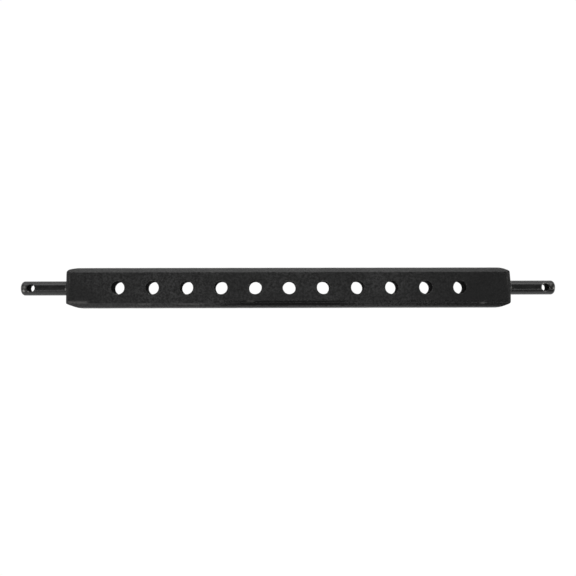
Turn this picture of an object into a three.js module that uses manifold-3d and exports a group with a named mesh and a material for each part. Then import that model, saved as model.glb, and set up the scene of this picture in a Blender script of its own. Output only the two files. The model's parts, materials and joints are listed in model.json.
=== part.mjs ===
// Drilled crossbar (drawbar) for a category 1 three-point tractor hitch: one solid flat bar with a row of
// holes, and a turned hitch pin let into each end and held by a weld bead.
// Frame: millimetres, X along the bar, Z up through the drilled holes, origin under the middle of the bar
// in the plane of the wide face that it lies on.

import * as THREE from "three";
import { mergeVertices } from "three/addons/utils/BufferGeometryUtils.js";
import Module from "manifold-3d";

// ---- Driving dimensions ----
const SHOULDER_SPAN = 683; // between the two end faces of the bar
const BAR_WIDTH = 62;
const BAR_THICKNESS = 31;
const BAR_CORNER_RADIUS = 8; // of the rolled bar's four long edges

const HOLE_COUNT = 11;
const HOLE_PITCH = 52.5;
const HOLE_DIAMETER = 20.2;
const HOLE_EDGE_BREAK = 0.8; // chamfer where a hole meets a wide face

const SIDE_TAPER_LENGTH = 18; // each end narrows over this length
const SIDE_TAPER_DEPTH = 6;
const FACE_TAPER_LENGTH = 5; // and thins over this one
const FACE_TAPER_DEPTH = 1.5;

const PIN_DIAMETER = 22;
const PIN_LENGTH = 72; // beyond the bar's end face
const PIN_TIP_ROUND = 5;
const SHANK_DIAMETER = 18; // the part of the pin inside the bar
const SHANK_LENGTH = 50;
const SHANK_CHAMFER = 1.2;

const LINCH_HOLE_DIAMETER = 12;
const LINCH_HOLE_FROM_SHOULDER = 55;
const LINCH_COUNTERSINK = 0.8;

const WELD_PREP_RADIUS = 13.5; // of the 45 degree bevel round the mouth of the bore, which the weld fills
const BEAD_HEIGHT = 2.6; // how far the weld bead climbs along the pin
const FIT_GAP = 0.3; // left between pieces that touch
const DRILL_POINT_ANGLE = 118;
const OVERCUT = 2; // how far a cutting tool stands past the surface that it cuts

// ---- Values worked out from them ----
const HALF_SPAN = SHOULDER_SPAN / 2;
const MID_HEIGHT = BAR_THICKNESS / 2;
const PIN_RADIUS = PIN_DIAMETER / 2;
const SHANK_RADIUS = SHANK_DIAMETER / 2;
const BORE_RADIUS = SHANK_RADIUS + FIT_GAP;
const BORE_DEPTH = SHANK_LENGTH + FIT_GAP;
const BORE_POINT = BORE_RADIUS / Math.tan(THREE.MathUtils.degToRad(DRILL_POINT_ANGLE / 2));
const BEVEL_GAP = FIT_GAP * Math.SQRT2; // the fit gap, measured square to the end face

// ---- Mesh fineness ----
const ROUND_SEGMENTS = 32;
const CORNER_SEGMENTS = 6;
const TIP_SEGMENTS = 6;
const BEAD_SEGMENTS = 5;

const wasm = await Module();
wasm.setup();

// A closed three.js geometry as a manifold-3d solid.
function solidOf(geometry) {
  const bare = geometry.index ? geometry.toNonIndexed() : geometry.clone();
  bare.deleteAttribute("normal");
  bare.deleteAttribute("uv");
  const merged = mergeVertices(bare, 1e-4);
  return new wasm.Manifold(
    new wasm.Mesh({
      numProp: 3,
      vertProperties: merged.attributes.position.array,
      triVerts: new Uint32Array(merged.index.array),
    }),
  );
}

// A manifold-3d solid as a three.js geometry with flat shading.
function geometryOf(solid) {
  const mesh = solid.getMesh();
  const positions = new Float32Array(mesh.numVert * 3);
  for (let i = 0; i < mesh.numVert; i++) {
    const start = i * mesh.numProp;
    positions.set(mesh.vertProperties.subarray(start, start + 3), i * 3);
  }
  const geometry = new THREE.BufferGeometry();
  geometry.setAttribute("position", new THREE.BufferAttribute(positions, 3));
  geometry.setIndex(new THREE.BufferAttribute(mesh.triVerts, 1));
  const flat = geometry.toNonIndexed();
  flat.computeVertexNormals();
  return flat;
}

// A profile of [radius, height] pairs turned about Z.
function turned(profile) {
  const points = profile.map(([radius, height]) => new THREE.Vector2(radius, height));
  return new THREE.LatheGeometry(points, ROUND_SEGMENTS).rotateX(Math.PI / 2);
}

// A quarter ellipse as profile points, from its widest point up to its highest, about [radius, height].
function quarter([radius, height], reach, rise, segments) {
  return Array.from({ length: segments + 1 }, (_, i) => {
    const angle = ((Math.PI / 2) * i) / segments;
    return [radius + reach * Math.cos(angle), height + rise * Math.sin(angle)];
  });
}

// The outline of a bar seen square on, in X and the given half height, narrowing towards both ends.
function taperedOutline(halfHeight, taperLength, taperDepth) {
  const shoulder = HALF_SPAN - taperLength;
  const endHeight = halfHeight - taperDepth;
  const outline = new THREE.Shape();
  outline.moveTo(-shoulder, -halfHeight);
  outline.lineTo(shoulder, -halfHeight);
  outline.lineTo(HALF_SPAN, -endHeight);
  outline.lineTo(HALF_SPAN, endHeight);
  outline.lineTo(shoulder, halfHeight);
  outline.lineTo(-shoulder, halfHeight);
  outline.lineTo(-HALF_SPAN, endHeight);
  outline.lineTo(-HALF_SPAN, -endHeight);
  outline.closePath();
  return outline;
}

// The rolled bar's cross-section: a rectangle with round corners, centred on the origin.
function rolledSection() {
  const w = BAR_WIDTH / 2;
  const t = BAR_THICKNESS / 2;
  const r = BAR_CORNER_RADIUS;
  const quarter = Math.PI / 2;
  const section = new THREE.Shape();
  section.moveTo(-w + r, -t);
  section.absarc(w - r, -t + r, r, -quarter, 0, false);
  section.absarc(w - r, t - r, r, 0, quarter, false);
  section.absarc(-w + r, t - r, r, quarter, 2 * quarter, false);
  section.absarc(-w + r, -t + r, r, 2 * quarter, 3 * quarter, false);
  section.closePath();
  return section;
}

// A shape pushed evenly to both sides of its plane.
function slab(shape, depth) {
  const options = { depth, bevelEnabled: false, curveSegments: CORNER_SEGMENTS };
  return new THREE.ExtrudeGeometry(shape, options).translate(0, 0, -depth / 2);
}

// The bar before drilling: the rolled section, cut by its tapered plan and its tapered side view.
function barBlank() {
  const rolled = slab(rolledSection(), SHOULDER_SPAN)
    .rotateX(Math.PI / 2)
    .rotateZ(Math.PI / 2);
  const plan = slab(
    taperedOutline(BAR_WIDTH / 2, SIDE_TAPER_LENGTH, SIDE_TAPER_DEPTH),
    BAR_THICKNESS + OVERCUT,
  );
  const side = slab(
    taperedOutline(BAR_THICKNESS / 2, FACE_TAPER_LENGTH, FACE_TAPER_DEPTH),
    BAR_WIDTH + OVERCUT,
  ).rotateX(Math.PI / 2);
  return solidOf(rolled).intersect(solidOf(plan)).intersect(solidOf(side));
}

// The tool that drills one hole right through the bar and breaks both of its edges.
function holeTool() {
  const radius = HOLE_DIAMETER / 2;
  const face = BAR_THICKNESS / 2;
  const wide = radius + HOLE_EDGE_BREAK + OVERCUT;
  return turned([
    [0, -face - OVERCUT],
    [wide, -face - OVERCUT],
    [radius, -face + HOLE_EDGE_BREAK],
    [radius, face - HOLE_EDGE_BREAK],
    [wide, face + OVERCUT],
    [0, face + OVERCUT],
  ]);
}

// How deep the weld bevel lies below the bar's end face at this radius.
function bevelDepth(radius) {
  return WELD_PREP_RADIUS - radius;
}

// The tool that bores one end for a pin's shank and bevels the bore's mouth for the weld. It stands
// along Z, with the bar's end face at height 0.
function boreTool() {
  return turned([
    [0, -BORE_DEPTH - BORE_POINT],
    [BORE_RADIUS, -BORE_DEPTH],
    [BORE_RADIUS, -bevelDepth(BORE_RADIUS)],
    [WELD_PREP_RADIUS + OVERCUT, OVERCUT],
    [0, OVERCUT],
  ]);
}

// Turns a piece that stands along Z, with its shoulder at height 0, out along side * X at that end.
function atEnd(geometry, side) {
  return geometry.rotateY((side * Math.PI) / 2).translate(side * HALF_SPAN, 0, 0);
}

function crossbar() {
  let bar = barBlank();
  const firstHole = (-(HOLE_COUNT - 1) / 2) * HOLE_PITCH;
  for (let i = 0; i < HOLE_COUNT; i++) {
    bar = bar.subtract(solidOf(holeTool().translate(firstHole + i * HOLE_PITCH, 0, 0)));
  }
  for (const side of [-1, 1]) {
    bar = bar.subtract(solidOf(atEnd(boreTool(), side)));
  }
  return geometryOf(bar);
}

// The tool that cross-drills a pin for its linch pin, with a light countersink on both sides.
function linchTool() {
  const radius = LINCH_HOLE_DIAMETER / 2;
  const sink = PIN_RADIUS - LINCH_COUNTERSINK;
  const wide = radius + LINCH_COUNTERSINK + OVERCUT;
  const top = PIN_RADIUS + OVERCUT;
  return turned([
    [0, -top],
    [wide, -top],
    [radius, -sink],
    [radius, sink],
    [wide, top],
    [0, top],
  ]);
}

// A hitch pin: the shank goes into the bore, a cone seats in the weld bevel, and the working pin, with
// its round tip, stands out of the bar.
function hitchPin(side) {
  const tip = [PIN_RADIUS - PIN_TIP_ROUND, PIN_LENGTH - PIN_TIP_ROUND];
  const body = turned([
    [0, -SHANK_LENGTH],
    [SHANK_RADIUS - SHANK_CHAMFER, -SHANK_LENGTH],
    [SHANK_RADIUS, -SHANK_LENGTH + SHANK_CHAMFER],
    [SHANK_RADIUS, BEVEL_GAP - bevelDepth(SHANK_RADIUS)],
    [PIN_RADIUS, BEVEL_GAP - bevelDepth(PIN_RADIUS)],
    ...quarter(tip, PIN_TIP_ROUND, PIN_TIP_ROUND, TIP_SEGMENTS),
    [0, PIN_LENGTH],
  ]);
  const drill = linchTool().translate(side * (HALF_SPAN + LINCH_HOLE_FROM_SHOULDER), 0, 0);
  return geometryOf(solidOf(atEnd(body, side)).subtract(solidOf(drill)));
}

// The weld bead round the root of a pin: it fills the bevel, and its face is rounded.
function weldBead(side) {
  const inner = PIN_RADIUS + FIT_GAP;
  const root = [inner, BEVEL_GAP - bevelDepth(inner)];
  const reach = WELD_PREP_RADIUS - BEVEL_GAP - inner;
  return atEnd(turned([root, ...quarter([inner, 0], reach, BEAD_HEIGHT, BEAD_SEGMENTS), root]), side);
}

// ---- Materials ----
const barPaint = new THREE.MeshStandardMaterial({ color: 0x1c1c1c, roughness: 0.55, metalness: 0 });
const pinPaint = new THREE.MeshStandardMaterial({ color: 0x1a1a1a, roughness: 0.35, metalness: 0 });
const beadPaint = new THREE.MeshStandardMaterial({ color: 0x1e1e1e, roughness: 0.4, metalness: 0 });

// ---- The assembly ----
const drawbar = new THREE.Group();

function place(name, geometry, material) {
  const mesh = new THREE.Mesh(geometry, material);
  mesh.name = name;
  mesh.position.z = MID_HEIGHT;
  drawbar.add(mesh);
}

place("crossbar", crossbar(), barPaint);
for (const [end, side] of [
  ["left", -1],
  ["right", 1],
]) {
  place(`${end}_hitch_pin`, hitchPin(side), pinPaint);
  place(`${end}_pin_weld_bead`, weldBead(side), beadPaint);
}

export default drawbar;
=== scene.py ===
"""Looks of a drilled hitch drawbar: a black enamelled flat bar with eleven holes and a pin at each end.

Lengths are in metres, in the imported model's frame: X along the bar, Y across it, Z up through the holes. Each
piece is built with the bar's mid height at Z zero, and lifted into place as the last step.
"""

import json
import math

import bmesh
import bpy
import numpy as np
from mathutils import Matrix, Vector, noise


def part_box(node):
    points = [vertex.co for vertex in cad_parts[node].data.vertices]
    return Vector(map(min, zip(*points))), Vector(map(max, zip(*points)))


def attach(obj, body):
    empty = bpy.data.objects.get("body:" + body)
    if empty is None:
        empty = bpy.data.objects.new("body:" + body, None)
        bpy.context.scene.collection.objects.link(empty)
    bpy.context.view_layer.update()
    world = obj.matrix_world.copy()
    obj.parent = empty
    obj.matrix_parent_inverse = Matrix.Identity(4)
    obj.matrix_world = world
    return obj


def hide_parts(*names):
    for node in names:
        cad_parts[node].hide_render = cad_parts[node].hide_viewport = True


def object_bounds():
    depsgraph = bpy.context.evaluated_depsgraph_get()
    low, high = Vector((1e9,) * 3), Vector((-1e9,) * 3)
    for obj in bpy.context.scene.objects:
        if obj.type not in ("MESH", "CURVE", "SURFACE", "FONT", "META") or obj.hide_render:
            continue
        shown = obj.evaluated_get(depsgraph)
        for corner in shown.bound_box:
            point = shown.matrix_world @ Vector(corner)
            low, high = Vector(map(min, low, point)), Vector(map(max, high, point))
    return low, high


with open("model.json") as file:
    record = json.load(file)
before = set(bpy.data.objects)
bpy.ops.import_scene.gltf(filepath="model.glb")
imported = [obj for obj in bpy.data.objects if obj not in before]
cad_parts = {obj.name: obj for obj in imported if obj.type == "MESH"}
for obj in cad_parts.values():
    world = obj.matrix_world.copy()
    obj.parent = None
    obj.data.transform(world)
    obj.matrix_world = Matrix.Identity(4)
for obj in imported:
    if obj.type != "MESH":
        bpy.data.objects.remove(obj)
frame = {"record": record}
CAD_LOW, CAD_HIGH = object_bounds()

MM = 0.001

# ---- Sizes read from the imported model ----
BAR_LOW, BAR_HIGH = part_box("crossbar")
HALF_SPAN = (BAR_HIGH.x - BAR_LOW.x) / 2
HALF_WIDTH = (BAR_HIGH.y - BAR_LOW.y) / 2
HALF_THICKNESS = (BAR_HIGH.z - BAR_LOW.z) / 2
MID_HEIGHT = (BAR_HIGH.z + BAR_LOW.z) / 2
PIN_REACH = CAD_HIGH.x - HALF_SPAN
PIN_LOW, PIN_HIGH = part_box("right_hitch_pin")
PIN_RADIUS = (PIN_HIGH.y - PIN_LOW.y) / 2
SHANK_LENGTH = HALF_SPAN - PIN_LOW.x
BEAD_LOW, BEAD_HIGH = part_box("right_pin_weld_bead")
BEAD_RADIUS = (BEAD_HIGH.y - BEAD_LOW.y) / 2
BEAD_CLIMB = BEAD_HIGH.x - HALF_SPAN


def opening_centres(start, end):
    """X of every stated opening whose name starts and ends so, from left to right."""
    openings = frame["record"]["physics"]["openings"]
    boxes = [o["box_m"] for o in openings if o["name"].startswith(start) and o["name"].endswith(end)]
    return sorted((low[0] + high[0]) / 2 for low, high in boxes)


HOLE_CENTRES = opening_centres("drilled_hole", "along")
HOLE_PITCH = HOLE_CENTRES[1] - HOLE_CENTRES[0]
LINCH_REACH = opening_centres("right_linch", "hole")[0] - HALF_SPAN

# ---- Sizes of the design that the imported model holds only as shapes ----
CORNER_RADIUS = 8.0 * MM
HOLE_RADIUS = 10.05 * MM
HOLE_EDGE = 0.7 * MM  # rounding of a drilled hole's rim
BORE_RADIUS = 9.3 * MM
BORE_DEPTH = 50.3 * MM
BORE_MOUTH_RADIUS = 12.4 * MM
DRILL_HALF_ANGLE = math.radians(59)
SHANK_RADIUS = 9.0 * MM
SHANK_CHAMFER = 1.2 * MM
LINCH_RADIUS = 5.9 * MM
LINCH_EDGE = 0.6 * MM  # rounding of a cross hole's rim

# ---- Fineness of the meshes ----
CELL_SIDE = 24  # quads along each side of the square round a drilled hole
CORNER_DEGREES = [0, 2.2, 2.9, *np.arange(7.5, 90, 7.5)]  # from a wide face, closer at the crease
CORNER_STEPS = len(CORNER_DEGREES)
SIDE_STEPS = 10  # quads up each narrow side of the bar
EDGE_STEPS = 4  # quads round each small rounded edge
FACE_SHARES = np.linspace(0, 1, 9) ** 1.25  # of the way from a drilled hole's rim to its square's border
WALL_STEPS = 8  # quads down a drilled hole's wall
PLAIN_STATIONS = 15  # from the last square to where an end starts to narrow
TAPER_SHARES = np.linspace(0, 1, 29)[1:] ** 0.75  # of the way from there to the end face, closer at the end
END_FACE_SHARES = np.linspace(0, 1, 5)  # of the way from the bar's outline to the bore's mouth
BORE_SHARES = (0.4, 0.7, 1.0)  # of the blind bore's depth
POINT_SHARES = (0.4, 0.75, 0.995)  # of the drill point's depth
PIN_SIDE = 32  # quads along each side of the patch round a cross hole, and round half of the pin
PATCH_SHARES = np.linspace(0, 1, 8) ** 1.2  # of the way from a cross hole's rim to its patch's border
CROSS_WALL_SHARES = np.linspace(0, 1, 11)  # of the way through a cross hole
WORKING_STATIONS = 30  # along the pin from the weld bevel to the patch
TIP_STATIONS = 4  # from the patch to the rounded tip
TIP_STEPS = 8  # quads round the tip
BEAD_AROUND = 144
BEAD_ACROSS = 12
DISC_CORE = 0.42  # half size of a disc's square middle, as a share of its radius
MERGE_DISTANCE = 0.01 * MM
HALVINGS = 40  # of the search for the surface along a ray


# ======================================================================================
# Mesh building
# ======================================================================================


def between_rings(first, last, shares):
    """Rings on the way from one ring of points to another, at these shares of the way."""
    shares = shares[:, None, None]
    return first[None] * (1 - shares) + last[None] * shares


def rectangle_ring(half_x, half_y, side_steps):
    """Points round a rectangle, counter-clockwise from its +X +Y corner."""
    corners = [(half_x, half_y), (-half_x, half_y), (-half_x, -half_y), (half_x, -half_y)]
    points = []
    for k, (x0, y0) in enumerate(corners):
        x1, y1 = corners[(k + 1) % 4]
        for step in range(side_steps):
            t = step / side_steps
            points.append((x0 * (1 - t) + x1 * t, y0 * (1 - t) + y1 * t))
    return np.array(points)


def rectangle_angles(side_steps):
    """Even angles of a round ring whose points answer to those of a rectangle_ring."""
    return math.pi / 4 + np.arange(4 * side_steps) * (2 * math.pi / (4 * side_steps))


def ring_about_x(x, radius, turn):
    """A ring about the X axis, with its points at these turns from +Y towards +Z."""
    return np.stack([np.broadcast_to(x, turn.shape), radius * np.cos(turn), radius * np.sin(turn)], -1)


def rounded_rim(rounding):
    """How much wider than its wall a hole is, and how far below the face, at each step down its rim."""
    steps = []
    for k in range(EDGE_STEPS + 1):
        angle = math.pi / 2 * k / EDGE_STEPS
        steps.append((rounding * (1 - math.sin(angle)), rounding * (1 - math.cos(angle))))
    return steps


class Skin:
    """Grids of points that become one mesh of quads, with coinciding points merged."""

    def __init__(self):
        self.points = []
        self.faces = []
        self.kinds = []

    def grid(self, points, kind=0, wrap=False):
        """Adds a (rows, columns, 3) array of points as quads; wrap joins the last column to the first."""
        rows, columns = points.shape[:2]
        start = sum(len(p) for p in self.points)
        self.points.append(points.reshape(-1, 3))
        last = columns if wrap else columns - 1
        for i in range(rows - 1):
            for j in range(last):
                k = (j + 1) % columns
                a, b = start + i * columns + j, start + i * columns + k
                self.faces.append((a, b, b + columns, a + columns))
                self.kinds.append(kind)

    def disc(self, ring):
        """Closes a flat round ring with quads: a square grid in the middle and a band of quads round it."""
        side = len(ring) // 4
        centre = ring.mean(0)
        u, v = DISC_CORE * (ring[0] - centre), DISC_CORE * (ring[side] - centre)
        steps = np.linspace(-1, 1, side + 1)
        across, up = np.meshgrid(steps, steps, indexing="ij")
        core = centre + across[..., None] * u + up[..., None] * v
        border = [core[-1, :-1], core[:0:-1, -1], core[0, :0:-1], core[:-1, 0]]
        border = np.roll(np.concatenate(border), -(side // 2), axis=0)
        self.grid(between_rings(ring, border, np.linspace(0, 1, 4)), wrap=True)
        self.grid(core)

    def build(self, name, materials):
        """The finished object; a grid's kind is the number of its material."""
        mesh = bpy.data.meshes.new(name)
        mesh.from_pydata(np.concatenate(self.points).tolist(), [], self.faces)
        mesh.polygons.foreach_set("material_index", self.kinds)
        work = bmesh.new()
        work.from_mesh(mesh)
        bmesh.ops.remove_doubles(work, verts=work.verts, dist=MERGE_DISTANCE)
        bmesh.ops.recalc_face_normals(work, faces=work.faces)
        open_edges = [e for e in work.edges if len(e.link_faces) != 2]
        print(name, len(work.verts), "points", len(work.faces), "quads", len(open_edges), "open edges")
        work.to_mesh(mesh)
        work.free()
        mesh.polygons.foreach_set("use_smooth", [True] * len(mesh.polygons))
        piece = bpy.data.objects.new(name, mesh)
        bpy.context.scene.collection.objects.link(piece)
        for material in materials:
            mesh.materials.append(material)
        return piece


def each_vertex(piece, name):
    """Every vertex's "co" or "normal", as the rows of an array."""
    flat = np.empty(len(piece.data.vertices) * 3)
    piece.data.vertices.foreach_get(name, flat)
    return flat.reshape(-1, 3)


def put_in_place(piece, points):
    """Gives the piece these points, lifted from mid height at zero to where the bar is."""
    placed = points + (0, 0, MID_HEIGHT)
    piece.data.vertices.foreach_set("co", placed.astype(np.float32).ravel())
    piece.data.update()


def field_noise(points, wavelength, layer=0.0):
    """Smooth noise from about -1 to 1 at each point, with a different pattern for each layer."""
    shift = Vector((layer * 7.3, layer * 3.1, layer * 5.7))
    return np.array([noise.noise(Vector(p) / wavelength + shift) for p in points])


def mask(piece, name, values):
    """Stores a number for each point, for the materials to read."""
    layer = piece.data.attributes.new(name, "FLOAT", "POINT")
    layer.data.foreach_set("value", np.clip(values, 0, 1).astype(np.float32))


def smooth_step(low, high, value):
    """Zero up to low, one from high on, and smooth between."""
    t = np.clip((value - low) / (high - low), 0, 1)
    return t * t * (3 - 2 * t)


# ======================================================================================
# The crossbar's shape
# ======================================================================================

# How each end narrows: (side of the bar along X, side across Y) to (length, depth, rounding of the corner).
SIDE_TAPERS = {
    (-1, 1): (20 * MM, 3.6 * MM, 5.4 * MM),
    (-1, -1): (23 * MM, 7.0 * MM, 1.6 * MM),
    (1, 1): (20 * MM, 5.6 * MM, 2.4 * MM),
    (1, -1): (21 * MM, 6.4 * MM, 3.4 * MM),
}
SIDE_TAPER_POWER = 1.35  # above one, so that a taper starts gently
FACE_TAPER_LENGTH = 5.8 * MM
FACE_TAPER_DEPTH = 1.5 * MM
TAPER_BLEND = 0.4 * MM
TAPER_MESH_LENGTH = 22 * MM  # of the closely spaced cross-sections at each end
END_EDGE = 1.1 * MM  # rounding between the bar's sides and its end face
# Each rounded edge leaves the wide face at a soft crease, on a facet of this slope.
CREASE_START = 0.35 * MM
CREASE_TILT = math.radians(27)
CREASE_BLEND = 0.1 * MM


def smooth_max(a, b, blend):
    """The greater of two fields, rounded where they come within the blend of each other."""
    h = np.clip(blend - np.abs(a - b), 0, None) / blend
    return np.maximum(a, b) + h * h * blend / 4


def taper_share(x, length):
    """How far x is into the last length of the bar at either end, from 0 to 1."""
    return np.clip((np.abs(x) - (HALF_SPAN - length)) / length, 0, 1)


def side_limit(x, y):
    """The half width that the tapered sides leave at x, on the side of the bar where y is. It stands just
    clear of the bar's own side where there is no taper, so that the two blend only where they cross."""
    clear = HALF_WIDTH + TAPER_BLEND
    limit = np.full(np.shape(x), clear)
    for (end, side), (length, depth, rounding) in SIDE_TAPERS.items():
        here = (np.sign(x) == end) & (np.where(y < 0, -1, 1) == side)
        taper = (depth + TAPER_BLEND) * taper_share(x, length) ** SIDE_TAPER_POWER
        corner = rounding * (1 - np.sqrt(1 - taper_share(x, rounding) ** 2))
        limit = np.where(here, clear - taper - corner, limit)
    return limit


def face_limit(x):
    """The half thickness that the tapered wide faces leave at x, kept clear in the same way."""
    taper = (FACE_TAPER_DEPTH + TAPER_BLEND) * taper_share(x, FACE_TAPER_LENGTH)
    return HALF_THICKNESS + TAPER_BLEND - taper


def bar_field(x, y, z):
    """Below zero inside the undrilled bar, and close to a distance near its surface."""
    qy = np.abs(y) - (HALF_WIDTH - CORNER_RADIUS)
    qz = np.abs(z) - (HALF_THICKNESS - CORNER_RADIUS)
    outside = np.hypot(np.maximum(qy, 0), np.maximum(qz, 0))
    rolled = outside + np.minimum(np.maximum(qy, qz), 0) - CORNER_RADIUS
    above = np.abs(z) - HALF_THICKNESS
    facet = above * math.cos(CREASE_TILT) + (qy - CREASE_START) * math.sin(CREASE_TILT)
    rolled = smooth_max(rolled, facet, CREASE_BLEND)
    cut = smooth_max(np.abs(y) - side_limit(x, y), np.abs(z) - face_limit(x), TAPER_BLEND)
    return smooth_max(rolled, cut, TAPER_BLEND)


def on_surface(x, y, z, dy, dz, inset):
    """Points where rays from (y, z) along (dy, dz), each in its own cross-section, come within the inset of
    the bar's surface."""
    near = np.zeros_like(x)
    far = np.full_like(x, 2.5 * CORNER_RADIUS)
    for _ in range(HALVINGS):
        middle = (near + far) / 2
        inside = bar_field(x, y + dy * middle, z + dz * middle) < -inset
        near = np.where(inside, middle, near)
        far = np.where(inside, far, middle)
    return np.stack([x, y + dy * near, z + dz * near], -1)


def section_rays(x):
    """Start and direction of the rays that make one cross-section's outline, counter-clockwise from the
    upper face's +Y edge round to itself: as arrays of y, z, dy, dz for every x."""
    corner = {}
    flat_z = np.minimum(face_limit(x), HALF_THICKNESS) - CORNER_RADIUS
    for name, y_side, z_side in (("ne", 1, 1), ("nw", -1, 1), ("sw", -1, -1), ("se", 1, -1)):
        flat_y = np.minimum(side_limit(x, np.full_like(x, y_side)), HALF_WIDTH) - CORNER_RADIUS
        corner[name] = (y_side * flat_y, z_side * flat_z)
    rays = []

    def between(a, b, steps, dy, dz):
        for k in range(steps):
            t = k / steps
            start_y = corner[a][0] * (1 - t) + corner[b][0] * t
            start_z = corner[a][1] * (1 - t) + corner[b][1] * t
            rays.append((start_y, start_z, dy, dz))

    def round_corner(name, start_degrees, starts_at_face):
        turns = CORNER_DEGREES if starts_at_face else [0] + [90 - d for d in CORNER_DEGREES[:0:-1]]
        for turn in turns:
            angle = math.radians(start_degrees + turn)
            rays.append((*corner[name], math.cos(angle), math.sin(angle)))

    between("ne", "nw", CELL_SIDE, 0, 1)
    round_corner("nw", 90, True)
    between("nw", "sw", SIDE_STEPS, -1, 0)
    round_corner("sw", 180, False)
    between("sw", "se", CELL_SIDE, 0, -1)
    round_corner("se", 270, True)
    between("se", "ne", SIDE_STEPS, 1, 0)
    round_corner("ne", 0, False)
    return rays


def outline_rows(x, inset):
    """The bar's outline at every x, set in by the inset there, as a (stations, points round, 3) array."""
    columns = [
        on_surface(x, y, z, np.full_like(x, dy), np.full_like(x, dz), inset)
        for y, z, dy, dz in section_rays(x)
    ]
    return np.stack(columns, 1)


def middle_stations():
    """X of the cross-sections along the drilled part, which meet the squares round the holes."""
    first = HOLE_CENTRES[0] - HOLE_PITCH / 2
    last = HOLE_CENTRES[-1] + HOLE_PITCH / 2
    return np.linspace(first, last, CELL_SIDE * len(HOLE_CENTRES) + 1)


def end_stations():
    """Distances from the bar's middle, and insets, of the cross-sections from the last hole's square out to
    the rounded edge of the end face."""
    start = HOLE_CENTRES[-1] + HOLE_PITCH / 2
    taper = HALF_SPAN - TAPER_MESH_LENGTH
    edge = HALF_SPAN - END_EDGE
    plain = np.linspace(start, taper, PLAIN_STATIONS)
    tapered = taper + (edge - taper) * TAPER_SHARES
    angles = np.linspace(0, math.pi / 2, EDGE_STEPS + 1)[1:]
    stations = np.concatenate([plain, tapered, edge + END_EDGE * np.sin(angles)])
    insets = np.concatenate([np.zeros(len(plain) + len(tapered)), END_EDGE * (1 - np.cos(angles))])
    return stations, insets


def drilled_square(skin, centre_x):
    """The two square patches of one hole and the wall between them."""
    angles = rectangle_angles(CELL_SIDE)
    square = rectangle_ring(HOLE_PITCH / 2, HALF_WIDTH - CORNER_RADIUS, CELL_SIDE) + (centre_x, 0)

    def ring(radius, height):
        x, y = centre_x + radius * np.cos(angles), radius * np.sin(angles)
        return np.stack([x, y, np.full_like(angles, height)], -1)

    for side in (1, -1):
        face_height = side * HALF_THICKNESS
        border = np.column_stack([square, np.full(len(square), face_height)])
        collar = ring(HOLE_RADIUS + HOLE_EDGE, face_height)
        skin.grid(between_rings(collar, border, FACE_SHARES), wrap=True)
        rim = [ring(HOLE_RADIUS + wider, side * (HALF_THICKNESS - below))
               for wider, below in rounded_rim(HOLE_EDGE)]
        skin.grid(np.stack(rim), wrap=True)
    wall_end = HALF_THICKNESS - HOLE_EDGE
    wall = [ring(HOLE_RADIUS, height) for height in np.linspace(wall_end, -wall_end, WALL_STEPS + 1)]
    skin.grid(np.stack(wall), kind=1, wrap=True)


def end_face(skin, outline, side):
    """The end of the bar, from its outline in to the bore, and the blind bore with its drill point."""
    turn = np.arctan2(outline[:, 2], outline[:, 1])
    bevel_end = HALF_SPAN - (BORE_MOUTH_RADIUS - BORE_RADIUS)
    bore_end = HALF_SPAN - BORE_DEPTH
    point = bore_end - BORE_RADIUS / math.tan(DRILL_HALF_ANGLE)
    mouth = ring_about_x(side * HALF_SPAN, BORE_MOUTH_RADIUS, turn)
    skin.grid(between_rings(outline, mouth, END_FACE_SHARES), wrap=True)
    rows = [mouth, ring_about_x(side * bevel_end, BORE_RADIUS, turn)]
    for share in BORE_SHARES:
        rows.append(ring_about_x(side * (HALF_SPAN - BORE_DEPTH * share), BORE_RADIUS, turn))
    for share in POINT_SHARES:
        reach = bore_end * (1 - share) + point * share
        rows.append(ring_about_x(side * reach, BORE_RADIUS * (1 - share), turn))
    rows.append(np.repeat(rows[-1].mean(0)[None], len(turn), 0))
    skin.grid(np.stack(rows), kind=1, wrap=True)


def bar_skin():
    """The drilled middle of the bar, its two narrow sides, and its two tapered ends."""
    skin = Skin()
    for centre_x in HOLE_CENTRES:
        drilled_square(skin, centre_x)
    middle = middle_stations()
    rows = outline_rows(middle, np.zeros_like(middle))
    narrow_side = 2 * CORNER_STEPS + SIDE_STEPS  # steps round it, with the corners above and below
    skin.grid(rows[:, CELL_SIDE:CELL_SIDE + narrow_side + 1])
    skin.grid(np.concatenate([rows[:, 2 * CELL_SIDE + narrow_side:], rows[:, :1]], 1))
    stations, insets = end_stations()
    for side in (-1, 1):
        end_rows = outline_rows(side * stations, insets)
        skin.grid(end_rows, wrap=True)
        end_face(skin, end_rows[-1], side)
    return skin


# ======================================================================================
# The crossbar's wear and unevenness
# ======================================================================================

# The right end face leans back past this Y, by this much for each metre further across.
SLANT_START = 9 * MM
END_SLANT = 0.07
SLANT_LENGTH = 9 * MM  # of the bar's end that is drawn back with the face
# Rubbed places along the upper face's -Y crease: (middle along X, half length, nearest and furthest distance
# outward from the crease, strength).
EDGE_SCUFFS = [
    (-324 * MM, 16 * MM, -2.2 * MM, 0.4 * MM, 0.85),
    (-221 * MM, 11 * MM, 1.6 * MM, 2.6 * MM, 0.45),
    (-150 * MM, 22 * MM, 1.6 * MM, 2.6 * MM, 0.5),
    (-104 * MM, 3 * MM, -3.0 * MM, -1.0 * MM, 0.4),
    (-60 * MM, 6 * MM, -3.0 * MM, -1.0 * MM, 0.6),
    (212 * MM, 1 * MM, -3.0 * MM, -1.4 * MM, 0.8),
    (298 * MM, 4.5 * MM, 1.0 * MM, 1.7 * MM, 1.0),
]
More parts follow.
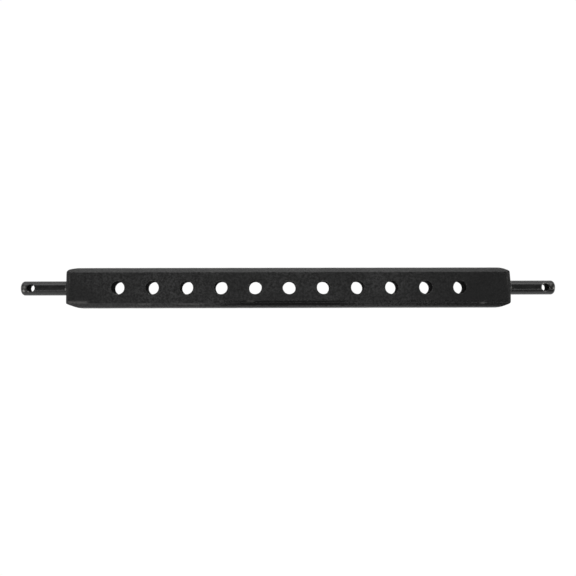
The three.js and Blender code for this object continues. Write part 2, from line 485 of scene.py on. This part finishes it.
# Where the same edge rolls off early, under glossy paint that is also darkened as painted shade: (middle along
# X, half length, strength).
EDGE_ROLLS = [(0.0, 100 * MM, 1.0), (240 * MM, 100 * MM, 0.4)]
ROLL_WIDTH = 3.6 * MM  # the wide face starts down this far inside the crease
ROLL_DEPTH = 0.55 * MM  # and is this much lower at the crease
ROLL_LIMIT = 1.1  # and at most this many times as much lower outside it
GLOSS_AND_SHADE_BAND = (-2.6 * MM, 3.5 * MM)  # nearest and furthest distance of that paint outward from the crease
BAND_FADE = 1.2 * MM  # over which every band along the edge fades out
# Painted shade that darkens each end and evens out its mottle: (end of the bar) to (start and end of the fading
# from the middle, strength).
SHADES = {-1: (240 * MM, 320 * MM, 0.4), 1: (130 * MM, 300 * MM, 1.0)}
FACE_WAVE = 0.10 * MM
FACE_WAVELENGTH = 30 * MM
SMALL_WAVE = 0.05 * MM
SMALL_WAVELENGTH = 9 * MM


def along_edge(points, centre_x, half_length, strength):
    """How strongly a mark on a long edge shows at each point's X."""
    distance = np.abs(points[:, 0] - centre_x)
    return strength * (1 - smooth_step(0.6 * half_length, 1.3 * half_length, distance))


def edge_band(distance, start, end):
    """One between start and end, fading out on both sides of them."""
    return smooth_step(start - BAND_FADE, start, distance) * (1 - smooth_step(end, end + BAND_FADE, distance))


def from_hole_wall(points):
    """How far each point is from the nearest drilled hole's wall, across the bar's face."""
    gaps = [np.abs(np.hypot(points[:, 0] - x, points[:, 1]) - HOLE_RADIUS) for x in HOLE_CENTRES]
    return np.min(gaps, axis=0)


def from_crease(points):
    """How far each point is outward from the upper face's -Y crease, and below zero inside it."""
    return -points[:, 1] - (HALF_WIDTH - CORNER_RADIUS)


def early_roll(points):
    """How strongly the upper -Y edge rolls off early at each point."""
    return np.max([along_edge(points, *run) for run in EDGE_ROLLS], axis=0) * (points[:, 2] > 0)


def mark_crossbar(piece, points, normal):
    """Stores where the bar's paint is thin or rubbed, where the lower edge is glossy under painted shade, where
    the end ridges carry a painted highlight, and where painted shade darkens the ends and their edges.
    """
    from_middle, side_on = np.abs(points[:, 0]), np.abs(normal[:, 1])
    on_face = smooth_step(HALF_THICKNESS - 1.6 * MM, HALF_THICKNESS - 0.2 * MM, np.abs(points[:, 2]))
    mask(piece, "rim", on_face * (1 - smooth_step(0.6 * MM, 2.2 * MM, from_hole_wall(points))))
    mask(piece, "corner", smooth_step(0.15, 0.5, side_on) * (1 - smooth_step(0.8, 0.99, side_on)))
    # Painted shade on the rounded edge round each end face
    mask(piece, "end_edge_painted_shade", smooth_step(HALF_SPAN - 2.5 * MM, HALF_SPAN - 0.5 * MM, from_middle))
    # Painted highlight along the ridge where each end's wide face starts to taper, on the lit +Y half only,
    # broken up like worn paint
    from_ridge = np.abs(from_middle - (HALF_SPAN - FACE_TAPER_LENGTH))
    ridge_painted_highlight = on_face * (1 - smooth_step(0.4 * MM, 1.4 * MM, from_ridge))
    mask(piece, "ridge_painted_highlight", ridge_painted_highlight * smooth_step(-5 * MM, 12 * MM, points[:, 1]))
    outward = from_crease(points)
    scuffs = [along_edge(points, centre_x, half_length, strength) * edge_band(outward, nearest, furthest)
              for centre_x, half_length, nearest, furthest, strength in EDGE_SCUFFS]
    mask(piece, "scuff", np.max(scuffs, axis=0) * (points[:, 2] > 0))
    # Glossy paint along the early roll of the lower -Y edge, which is also darkened there as painted shade
    mask(piece, "gloss_and_painted_shade", early_roll(points) * edge_band(outward, *GLOSS_AND_SHADE_BAND))
    # Painted shade that darkens the bar towards each end, more at the right
    shades = [strength * smooth_step(start, end, side * points[:, 0])
              for side, (start, end, strength) in SHADES.items()]
    mask(piece, "shade", np.sum(shades, axis=0))


def uneven_crossbar(points, normal):
    """The points with the early roll, the faces' slight waves and the lean of the right end face."""
    points = points.copy()
    drop = ROLL_DEPTH * np.clip(from_crease(points) / ROLL_WIDTH + 1, 0, ROLL_LIMIT)
    points[:, 2] -= drop * early_roll(points)
    wave = FACE_WAVE * field_noise(points, FACE_WAVELENGTH)
    wave += SMALL_WAVE * field_noise(points, SMALL_WAVELENGTH, layer=1) - SMALL_WAVE
    away = smooth_step(0.5 * MM, 3 * MM, from_hole_wall(points))
    points += normal * (wave * away)[:, None]
    lean = END_SLANT * np.clip(points[:, 1] - SLANT_START, 0, None)
    points[:, 0] -= lean * smooth_step(HALF_SPAN - SLANT_LENGTH, HALF_SPAN, points[:, 0])
    points[:, 1] = np.clip(points[:, 1], -HALF_WIDTH, HALF_WIDTH)
    points[:, 2] = np.clip(points[:, 2], -HALF_THICKNESS, HALF_THICKNESS)
    return points


def make_crossbar(materials):
    piece = bar_skin().build("drilled_crossbar", materials)
    points, normal = each_vertex(piece, "co"), each_vertex(piece, "normal")
    mark_crossbar(piece, points, normal)
    put_in_place(piece, uneven_crossbar(points, normal))
    return piece


# ======================================================================================
# The hitch pins
# ======================================================================================

PATCH_HALF = 9.5 * MM  # half length along the pin of the patch round a cross hole
SEAT_DEPTH = BORE_MOUTH_RADIUS - PIN_RADIUS  # how deep in the weld bevel the pin nears its full thickness
SEAT_CHAMFER = 0.3 * MM
SEAT_CONE = 2 * MM  # length of the cone from the shank up to there
TIP_ROUND = 5.6 * MM
TIP_POWER = 1.15  # above one, so that the tip is cut back a little more than an arc
TIP_DOME = 0.5 * MM
TIP_CENTRE = PIN_REACH - TIP_ROUND
PIN_WAVE = 0.05 * MM
PIN_WAVELENGTH = 14 * MM
# Spots on each tip where the paint is gone: (Y, distance back from the tip's end, radius, strength).
TIP_RUBS = {
    "left": [(-4.0 * MM, 6.3 * MM, 1.7 * MM, 0.85), (1.4 * MM, 7.2 * MM, 2.2 * MM, 0.45)],
    "right": [(-1.4 * MM, 3.8 * MM, 1.7 * MM, 0.9), (3.6 * MM, 8.4 * MM, 1.8 * MM, 0.3)],
}


def pin_patch(skin, side, above):
    """The half-round patch of the pin that holds one mouth of the cross hole, and the hole's rounded rim. It
    is laid out flat, as (distance along, distance round), and rolled. Gives back the rim's last ring."""
    border = rectangle_ring(PATCH_HALF, PIN_RADIUS * math.pi / 2, PIN_SIDE)
    angles = rectangle_angles(PIN_SIDE)

    def flat_ring(radius):
        y = radius * np.sin(angles)
        return np.stack([radius * np.cos(angles), PIN_RADIUS * np.arcsin(y / PIN_RADIUS)], -1)

    def rolled(points, depth=0.0):
        turn = points[..., 1] / PIN_RADIUS
        radius = PIN_RADIUS - depth
        x = side * (HALF_SPAN + LINCH_REACH + points[..., 0])
        return np.stack([x, radius * np.sin(turn), above * radius * np.cos(turn)], -1)

    collar = flat_ring(LINCH_RADIUS + LINCH_EDGE)
    skin.grid(rolled(between_rings(collar, border, PATCH_SHARES)), wrap=True)
    rim = [rolled(flat_ring(LINCH_RADIUS + wider), below) for wider, below in rounded_rim(LINCH_EDGE)]
    skin.grid(np.stack(rim), wrap=True)
    return rim[-1]


def turned_rows(side, profile):
    """Rings of the turned part of a pin, for (distance from the shoulder, radius) pairs."""
    turn = np.arange(2 * PIN_SIDE) * (math.pi / PIN_SIDE)
    return np.stack([ring_about_x(side * (HALF_SPAN + reach), radius, turn) for reach, radius in profile])


def pin_skin(side):
    """The cross hole in its patch, the shank and working length up to it, and the tip beyond it."""
    skin = Skin()
    upper_rim, lower_rim = [pin_patch(skin, side, above) for above in (1, -1)]
    skin.grid(between_rings(upper_rim, lower_rim, CROSS_WALL_SHARES), kind=1, wrap=True)
    body = [
        (-SHANK_LENGTH, SHANK_RADIUS - SHANK_CHAMFER),
        (-SHANK_LENGTH + SHANK_CHAMFER, SHANK_RADIUS),
        (-SHANK_LENGTH / 2, SHANK_RADIUS),
        (-SEAT_DEPTH - SEAT_CONE, SHANK_RADIUS),
        (-SEAT_DEPTH, PIN_RADIUS - SEAT_CHAMFER),
    ]
    patch_start, patch_end = LINCH_REACH - PATCH_HALF, LINCH_REACH + PATCH_HALF
    working = np.linspace(-SEAT_DEPTH + SEAT_CHAMFER, patch_start, WORKING_STATIONS)
    body += [(reach, PIN_RADIUS) for reach in working]
    tip = [(reach, PIN_RADIUS) for reach in np.linspace(patch_end, TIP_CENTRE, TIP_STATIONS)]
    for k in range(1, TIP_STEPS + 1):
        angle = math.pi / 2 * k / TIP_STEPS
        reach = TIP_CENTRE + TIP_ROUND * math.sin(angle) ** TIP_POWER
        tip.append((reach, PIN_RADIUS - TIP_ROUND * (1 - math.cos(angle))))
    body_rows, tip_rows = turned_rows(side, body), turned_rows(side, tip)
    skin.grid(body_rows, wrap=True)
    skin.disc(body_rows[0])
    skin.grid(tip_rows, wrap=True)
    skin.disc(tip_rows[-1])
    return skin


def mark_pin(piece, points, rubs):
    """Stores where the pin's paint is rubbed."""
    reach, y = np.abs(points[:, 0]) - HALF_SPAN, points[:, 1]
    from_hole_centre = np.hypot(reach - LINCH_REACH, y)
    mask(piece, "tip", smooth_step(TIP_CENTRE - 1 * MM, TIP_CENTRE + 2.2 * MM, reach))
    on_outside = smooth_step(PIN_RADIUS - 1.4 * MM, PIN_RADIUS - 0.3 * MM, np.hypot(y, points[:, 2]))
    from_wall = np.abs(from_hole_centre - LINCH_RADIUS)
    mask(piece, "rim", on_outside * (1 - smooth_step(0.5 * MM, 1.8 * MM, from_wall)))
    beside_hole = smooth_step(LINCH_RADIUS + 0.2 * MM, LINCH_RADIUS + 1 * MM, from_hole_centre)
    spots = [strength * np.exp(-(np.hypot(y - spot_y, PIN_REACH - reach - back) / radius) ** 2)
             for spot_y, back, radius, strength in rubs]
    mask(piece, "worn", np.max(spots, axis=0) * beside_hole)


def uneven_pin(points, normal, side):
    """The points with the tip's end slightly domed and the turned surface slightly wavy."""
    points = points.copy()
    domed = np.clip((np.abs(points[:, 0]) - HALF_SPAN - TIP_CENTRE) / TIP_ROUND, 0, 1)
    from_axis = np.hypot(points[:, 1], points[:, 2]) / (PIN_RADIUS - TIP_ROUND)
    points[:, 0] -= side * TIP_DOME * domed * np.clip(from_axis, 0, 1) ** 2
    wave = -PIN_WAVE * (1 + field_noise(points, PIN_WAVELENGTH, side)) / 2
    return points + normal * wave[:, None]


def make_pin(name, side, rubs, materials):
    piece = pin_skin(side).build(name, materials)
    points, normal = each_vertex(piece, "co"), each_vertex(piece, "normal")
    mark_pin(piece, points, rubs)
    put_in_place(piece, uneven_pin(points, normal, side))
    return piece


# ======================================================================================
# The weld beads
# ======================================================================================

RIPPLES = 30
RIPPLE_HEIGHT = 0.14 * MM
RIPPLE_SWEEP = 2.2  # how far each ripple bows in the middle of the bead, in radians of the ripples' cycle
WANDER_WAVELENGTH = 0.6  # of the bead's uneven size, in radii of the ring it makes
OUT_SHARE, OUT_WANDER = 0.9, 0.08  # size along the end face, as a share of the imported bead's
CLIMB_SHARE, CLIMB_WANDER = 0.78, 0.18  # and along the pin
BEAD_OVERLAP = 0.1 * MM  # into the pin
BEAD_ROOT_DEPTH = 1.2 * MM  # into the bar
BEAD_POWER = 1.15  # above one, so that a bead bulges less than a quarter circle
# Heavier places round each bead: (degrees from +Y towards +Z, how much further it climbs the pin there).
WELD_LUMPS = {
    "left": [(100, 0.5), (-60, 0.2)],
    "right": [(52, 0.6), (95, 0.4)],
}
LUMP_SPREAD = 0.28  # in radians, as the next one is
HIGHLIGHT_SPREAD = 0.13
HIGHLIGHT_STRENGTH = 2.0  # of the painted highlight on a heavier place, for each unit of its size


def near_turn(turn, degrees, spread):
    """One at this place round the pin, and close to zero some spreads, in radians, to either side."""
    gap = np.angle(np.exp(1j * (turn - math.radians(degrees))))
    return np.exp(-(gap / spread) ** 2)


def make_bead(name, side, lumps, materials):
    """A fillet weld laid round the pin's root, with ripples and a few heavier places that carry painted
    highlights.
    """
    turn = np.arange(BEAD_AROUND) * (2 * math.pi / BEAD_AROUND)
    inner = PIN_RADIUS - BEAD_OVERLAP
    circle = np.stack([np.cos(turn), np.sin(turn), np.full_like(turn, side)], -1)
    wander = field_noise(circle, WANDER_WAVELENGTH)
    out = (BEAD_RADIUS - inner) * (OUT_SHARE + OUT_WANDER * wander)
    climb = BEAD_CLIMB * (CLIMB_SHARE + CLIMB_WANDER * wander)
    for degrees, size in lumps:
        climb = climb * (1 + size * near_turn(turn, degrees, LUMP_SPREAD))
    root = ring_about_x(side * (HALF_SPAN - BEAD_ROOT_DEPTH), inner, turn)
    rows = [root]
    for k in range(BEAD_ACROSS + 1):
        t = k / BEAD_ACROSS
        angle = math.pi / 2 * t
        bow = math.sin(math.pi * t)
        ripple = RIPPLE_HEIGHT * bow * np.cos(RIPPLES * turn + RIPPLE_SWEEP * bow * side)
        radius = inner + out * math.cos(angle) ** BEAD_POWER + ripple
        reach = climb * math.sin(angle) ** BEAD_POWER + ripple
        rows.append(ring_about_x(side * (HALF_SPAN + reach), radius, turn))
    skin = Skin()
    skin.grid(np.stack([*rows, root]), wrap=True)
    piece = skin.build(name, materials)
    points = each_vertex(piece, "co")
    around = np.arctan2(points[:, 2], points[:, 1])
    # Painted highlights on the bead's heavier places
    painted_glint = [HIGHLIGHT_STRENGTH * size * near_turn(around, degrees, HIGHLIGHT_SPREAD) for degrees, size in lumps]
    mask(piece, "lump_painted_highlight", np.max(painted_glint, axis=0))
    put_in_place(piece, points)
    return piece


# ======================================================================================
# Materials
# ======================================================================================


class Paint:
    """A node material under construction: short calls add a node and join it up."""

    def __init__(self, name):
        self.material = bpy.data.materials.new(name)
        self.material.use_nodes = True
        self.tree = self.material.node_tree
        self.shader = self.tree.nodes["Principled BSDF"]
        self.place = self.node("ShaderNodeTexCoord").outputs["Object"]

    def node(self, kind, **settings):
        made = self.tree.nodes.new(kind)
        for key, value in settings.items():
            setattr(made, key, value)
        return made

    def feed(self, socket, value):
        """Links a socket to another one, or sets it to a number or colour."""
        if isinstance(value, bpy.types.NodeSocket):
            self.tree.links.new(value, socket)
        else:
            socket.default_value = value

    def stretched(self, scale):
        made = self.node("ShaderNodeMapping")
        self.feed(made.inputs["Vector"], self.place)
        made.inputs["Scale"].default_value = scale
        return made.outputs["Vector"]

    def noise(self, wavelength, detail=3.0, roughness=0.55, stretch=None):
        """Noise from 0 to 1 with features of about this size."""
        made = self.node("ShaderNodeTexNoise")
        self.feed(made.inputs["Vector"], self.stretched(stretch) if stretch else self.place)
        made.inputs["Scale"].default_value = 1 / wavelength
        made.inputs["Detail"].default_value = detail
        made.inputs["Roughness"].default_value = roughness
        return made.outputs["Fac"]

    def math(self, operation, a, b, clamp=False):
        made = self.node("ShaderNodeMath", operation=operation, use_clamp=clamp)
        self.feed(made.inputs[0], a)
        self.feed(made.inputs[1], b)
        return made.outputs[0]

    def attribute(self, name):
        """One of the piece's stored masks."""
        return self.node("ShaderNodeAttribute", attribute_name=name).outputs["Fac"]

    def masked(self, name, value):
        return self.math("MULTIPLY", self.attribute(name), value)

    def ramp(self, value, low, high, to_low=0.0, to_high=1.0):
        """Carries value from low..high to to_low..to_high, smoothly and clamped."""
        made = self.node("ShaderNodeMapRange", interpolation_type="SMOOTHSTEP")
        self.feed(made.inputs["Value"], value)
        for key, number in (("From Min", low), ("From Max", high), ("To Min", to_low), ("To Max", to_high)):
            made.inputs[key].default_value = number
        return made.outputs["Result"]

    def mix(self, share, a, b):
        made = self.node("ShaderNodeMix", data_type="RGBA")
        self.feed(made.inputs["Factor"], share)
        self.feed(made.inputs[6], (*a, 1) if isinstance(a, tuple) else a)
        self.feed(made.inputs[7], (*b, 1) if isinstance(b, tuple) else b)
        return made.outputs[2]

    def bump(self, height, distance, normal=None):
        made = self.node("ShaderNodeBump")
        made.inputs["Strength"].default_value = 1.0
        made.inputs["Distance"].default_value = distance
        self.feed(made.inputs["Height"], height)
        if normal is not None:
            self.feed(made.inputs["Normal"], normal)
        return made.outputs["Normal"]

    def finish(self, **sockets):
        """Sets the shader's sockets, whose names are given with underscores for spaces."""
        for name, value in sockets.items():
            self.feed(self.shader.inputs[name.replace("_", " ")], value)
        return self.material


def grey(value):
    return (value, value, value)


def bar_enamel():
    """Satin black enamel over hot-rolled scale: pitted and mottled, rubbed on the corners and rims, with
    painted shade at the ends, on the end edges and along the lower edge, and a painted highlight on the end
    ridges.
    """
    paint = Paint("bar_enamel")
    mottle = paint.noise(3.2 * MM, detail=6.0, roughness=0.78)
    cloud = paint.noise(45 * MM, detail=3.0, stretch=(0.6, 1.0, 1.0))
    pits = paint.noise(2.0 * MM, detail=3.0, roughness=0.6)
    grain = paint.noise(0.55 * MM, detail=2.0, roughness=0.7)
    chips = paint.noise(1.8 * MM, detail=5.0, roughness=0.7, stretch=(0.35, 1.0, 1.0))

    body = paint.mix(paint.ramp(mottle, 0.40, 0.62), grey(0.001), grey(0.048))
    body = paint.mix(paint.ramp(cloud, 0.36, 0.62, 0.55, 0.0), body, grey(0.004))
    # Painted shade towards the ends: darker and less mottled
    body = paint.mix(paint.masked("shade", 0.85), body, grey(0.001))
    # Painted shade: the glossy strip along the lower -Y edge is darkened almost to black
    body = paint.mix(paint.masked("gloss_and_painted_shade", 0.95), body, grey(0.001))
    # Painted shade on the rounded edges of the end faces
    body = paint.mix(paint.masked("end_edge_painted_shade", 0.8), body, grey(0.002))
    worn_corner = paint.masked("corner", paint.ramp(chips, 0.62, 0.72, 0.0, 0.35))
    worn_rim = paint.masked("rim", paint.ramp(chips, 0.52, 0.64, 0.0, 0.6))
    # Painted highlight on the end ridges, in the bare steel colour
    ridge_highlight = paint.masked("ridge_painted_highlight", paint.ramp(chips, 0.38, 0.60, 0.05, 0.3))
    scuff = paint.masked("scuff", paint.ramp(chips, 0.34, 0.54, 0.0, 0.7))
    bare = paint.math("MAXIMUM", worn_corner, worn_rim)
    bare = paint.math("MAXIMUM", bare, ridge_highlight)
    bare = paint.math("MAXIMUM", bare, scuff)
    colour = paint.mix(bare, body, (0.17, 0.165, 0.16))

    rough = paint.ramp(mottle, 0.3, 0.7, 0.30, 0.46)
    rough = paint.math("ADD", rough, paint.ramp(grain, 0.3, 0.7, -0.04, 0.05))
    rough = paint.math("SUBTRACT", rough, paint.masked("gloss_and_painted_shade", 0.27))

    smooth = paint.math("MAXIMUM", paint.attribute("corner"), paint.attribute("gloss_and_painted_shade"))
    unevenness = paint.ramp(smooth, 0.0, 1.0, 1.0, 0.2)
    mottle_height = paint.math("MULTIPLY", paint.math("SUBTRACT", mottle, 0.5), unevenness)
    pit_height = paint.math("MULTIPLY", paint.math("SUBTRACT", pits, 0.5), unevenness)
    relief = paint.bump(mottle_height, 1.0 * MM)
    relief = paint.bump(pit_height, 0.16 * MM, relief)
    relief = paint.bump(grain, 0.012 * MM, relief)
    return paint.finish(Base_Color=colour, Roughness=rough, Normal=relief, Specular_IOR_Level=0.5)


def bore_painted_shade():
    """A thin, dry, near-black coat inside the drilled holes, cross holes and bores, over the drill's marks; its
    darkness is painted shade for the holes' depths.
    """
    paint = Paint("bore_painted_shade")
    marks = paint.noise(1.1 * MM, detail=3.0, stretch=(0.25, 0.25, 1.6))
    # Painted shade: the hole walls are kept far darker than the bar's face
    colour = paint.mix(paint.ramp(marks, 0.35, 0.75), grey(0.003), grey(0.009))
    rough = paint.ramp(marks, 0.3, 0.7, 0.85, 1.0)
    relief = paint.bump(marks, 0.05 * MM)
    return paint.finish(Base_Color=colour, Roughness=rough, Normal=relief, Specular_IOR_Level=0.04)


def pin_enamel():
    """Glossy enamel over a turned pin, rubbed bright on the tip and round the cross hole."""
    paint = Paint("pin_enamel")
    turning = paint.noise(0.6 * MM, detail=2.0, stretch=(1.0, 0.04, 0.04))
    mottle = paint.noise(5.0 * MM, detail=3.0, roughness=0.5)
    sag = paint.noise(6.0 * MM, detail=1.0, stretch=(0.4, 1.0, 1.0))
    chips = paint.noise(4.5 * MM, detail=5.0, roughness=0.6)

    body = paint.mix(paint.ramp(mottle, 0.3, 0.75), grey(0.012), grey(0.024))
    worn_tip = paint.masked("tip", paint.ramp(chips, 0.54, 0.64, 0.0, 0.2))
    worn_spots = paint.masked("worn", paint.ramp(chips, 0.30, 0.55, 0.6, 1.2))
    worn_rim = paint.masked("rim", paint.ramp(chips, 0.50, 0.60, 0.0, 0.5))
    bare = paint.math("MAXIMUM", worn_tip, worn_spots, clamp=True)
    bare = paint.math("MAXIMUM", bare, worn_rim)
    colour = paint.mix(bare, body, (0.52, 0.51, 0.49))
    metal = paint.math("MULTIPLY", bare, 0.6)

    rough = paint.math("ADD", paint.ramp(mottle, 0.25, 0.8, 0.20, 0.28), paint.math("MULTIPLY", bare, 0.15))
    relief = paint.bump(turning, 0.004 * MM)
    relief = paint.bump(sag, 0.05 * MM, relief)
    relief = paint.bump(paint.math("MULTIPLY", bare, chips), 0.25 * MM, relief)
    return paint.finish(
        Base_Color=colour, Roughness=rough, Metallic=metal, Normal=relief, Specular_IOR_Level=0.42
    )


def weld_enamel():
    """The same enamel, thicker and glossier where it ran over the weld's ripples, with painted highlights on
    the heavier places.
    """
    paint = Paint("weld_enamel")
    mottle = paint.noise(2.2 * MM, detail=3.0, roughness=0.55)
    body = paint.mix(paint.ramp(mottle, 0.35, 0.75), grey(0.006), grey(0.020))
    # Painted highlight: a lighter colour on the heavier places
    painted_glint = paint.masked("lump_painted_highlight", paint.ramp(mottle, 0.35, 0.60, 0.3, 0.8))
    colour = paint.mix(painted_glint, body, (0.34, 0.335, 0.32))
    rough = paint.ramp(mottle, 0.3, 0.7, 0.20, 0.34)
    relief = paint.bump(mottle, 0.10 * MM)
    return paint.finish(Base_Color=colour, Roughness=rough, Normal=relief, Specular_IOR_Level=0.5)


# ======================================================================================
# Stage, light and camera
# ======================================================================================

SEEN_WHITE = 1.02  # strength of the floor and the world where the camera sees them
FLOOR_LIGHT = 0.85  # and where they only light the object
WORLD_LIGHT = 0.20
FLOOR_REACH = 6.0
FLOOR_GAP = 0.3 * MM  # below the bar


def seen_and_lit(tree, lit, strength_socket):
    """Sets a strength to white where the camera sees it, and to lit where it only lights the object."""
    path = tree.nodes.new("ShaderNodeLightPath")
    mixed = tree.nodes.new("ShaderNodeMapRange")
    mixed.inputs["To Min"].default_value = lit
    mixed.inputs["To Max"].default_value = SEEN_WHITE
    tree.links.new(path.outputs["Is Camera Ray"], mixed.inputs["Value"])
    tree.links.new(mixed.outputs["Result"], strength_socket)


def make_floor():
    """A white light table that the bar lies on."""
    mesh = bpy.data.meshes.new("floor")
    corners = [(x * FLOOR_REACH, y * FLOOR_REACH, 0) for x, y in ((-1, -1), (1, -1), (1, 1), (-1, 1))]
    mesh.from_pydata(corners, [], [(0, 1, 2, 3)])
    floor = bpy.data.objects.new("floor", mesh)
    floor.location.z = -FLOOR_GAP
    bpy.context.scene.collection.objects.link(floor)
    material = bpy.data.materials.new("light_table")
    material.use_nodes = True
    tree = material.node_tree
    tree.nodes.clear()
    glow = tree.nodes.new("ShaderNodeEmission")
    glow.inputs["Color"].default_value = (1, 1, 1, 1)
    seen_and_lit(tree, FLOOR_LIGHT, glow.inputs["Strength"])
    output = tree.nodes.new("ShaderNodeOutputMaterial")
    tree.links.new(glow.outputs[0], output.inputs["Surface"])
    mesh.materials.append(material)


def make_world():
    world = bpy.data.worlds.new("studio")
    world.use_nodes = True
    background = world.node_tree.nodes["Background"]
    background.inputs["Color"].default_value = (1, 1, 1, 1)
    seen_and_lit(world.node_tree, WORLD_LIGHT, background.inputs["Strength"])
    bpy.context.scene.world = world


def soft_light(name, place, size, brightness):
    """A rectangular soft box of even brightness, its long side level, facing the bar's nearest part."""
    data = bpy.data.lights.new(name, "AREA")
    data.shape = "RECTANGLE"
    data.size, data.size_y = size
    data.energy = brightness * math.pi * size[0] * size[1]
    light = bpy.data.objects.new(name, data)
    light.location = place
    nearest_x = min(max(place[0], -HALF_SPAN), HALF_SPAN)
    aim = Vector((nearest_x, 0, MID_HEIGHT)) - Vector(place)
    light.rotation_mode = "QUATERNION"
    light.rotation_quaternion = aim.to_track_quat("-Z", "Y")
    bpy.context.scene.collection.objects.link(light)


def make_lights():
    soft_light("back_softbox", (0.0, 1.45, 0.55), (2.3, 0.94), 2.05)
    soft_light("top_softbox", (-0.22, -0.04, 1.6), (1.96, 0.6), 0.2)
    soft_light("front_strip", (0.0, -0.85, 1.35), (2.8, 0.2), 2.8)
    soft_light("low_front_softbox", (0.0, -1.5, 0.2), (3.0, 0.45), 1.15)
    soft_light("front_left_softbox", (-0.95, -1.15, 0.75), (1.0, 0.7), 0.8)
    for end, side in (("left", -1), ("right", 1)):
        soft_light(f"{end}_end_softbox", (side * 1.7, 0.0, 0.25), (1.2, 0.5), 1.4)


# The photo's camera, nearly straight above the bar.
CAMERA_DISTANCE = 1.1406
CAMERA_OFFSET = 1.86 * MM  # the bar's middle lies this far right of the lens axis
CAMERA_PITCH = math.radians(3.03)
CAMERA_YAW = math.radians(-0.76)
CAMERA_ROLL = math.radians(-0.11)
CAMERA_LENS = 45.87
CAMERA_SENSOR = 36.0


def make_camera():
    data = bpy.data.cameras.new("camera")
    data.lens = CAMERA_LENS
    data.sensor_width = CAMERA_SENSOR
    camera = bpy.data.objects.new("camera", data)
    turn = Matrix.Rotation(CAMERA_PITCH, 4, "X") @ Matrix.Rotation(CAMERA_YAW, 4, "Y")
    turn = turn @ Matrix.Rotation(CAMERA_ROLL, 4, "Z")
    place = Vector((0, 0, MID_HEIGHT)) + turn @ Vector((-CAMERA_OFFSET, 0, CAMERA_DISTANCE))
    camera.matrix_world = Matrix.Translation(place) @ turn
    bpy.context.scene.collection.objects.link(camera)
    bpy.context.scene.camera = camera


# ======================================================================================
# The scene
# ======================================================================================


def place_piece(piece, node):
    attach(piece, "root")
    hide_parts(node)


def main():
    make_camera()
    bar_paint, bore_shade_paint, pin_paint, weld_paint = bar_enamel(), bore_painted_shade(), pin_enamel(), weld_enamel()
    place_piece(make_crossbar([bar_paint, bore_shade_paint]), "crossbar")
    for end, side in (("left", -1), ("right", 1)):
        pin = make_pin(f"{end}_turned_pin", side, TIP_RUBS[end], [pin_paint, bore_shade_paint])
        place_piece(pin, f"{end}_hitch_pin")
        bead = make_bead(f"{end}_weld_bead", side, WELD_LUMPS[end], [weld_paint])
        place_piece(bead, f"{end}_pin_weld_bead")
    make_floor()
    make_world()
    make_lights()
    bpy.context.scene.view_settings.view_transform = "Standard"


main()
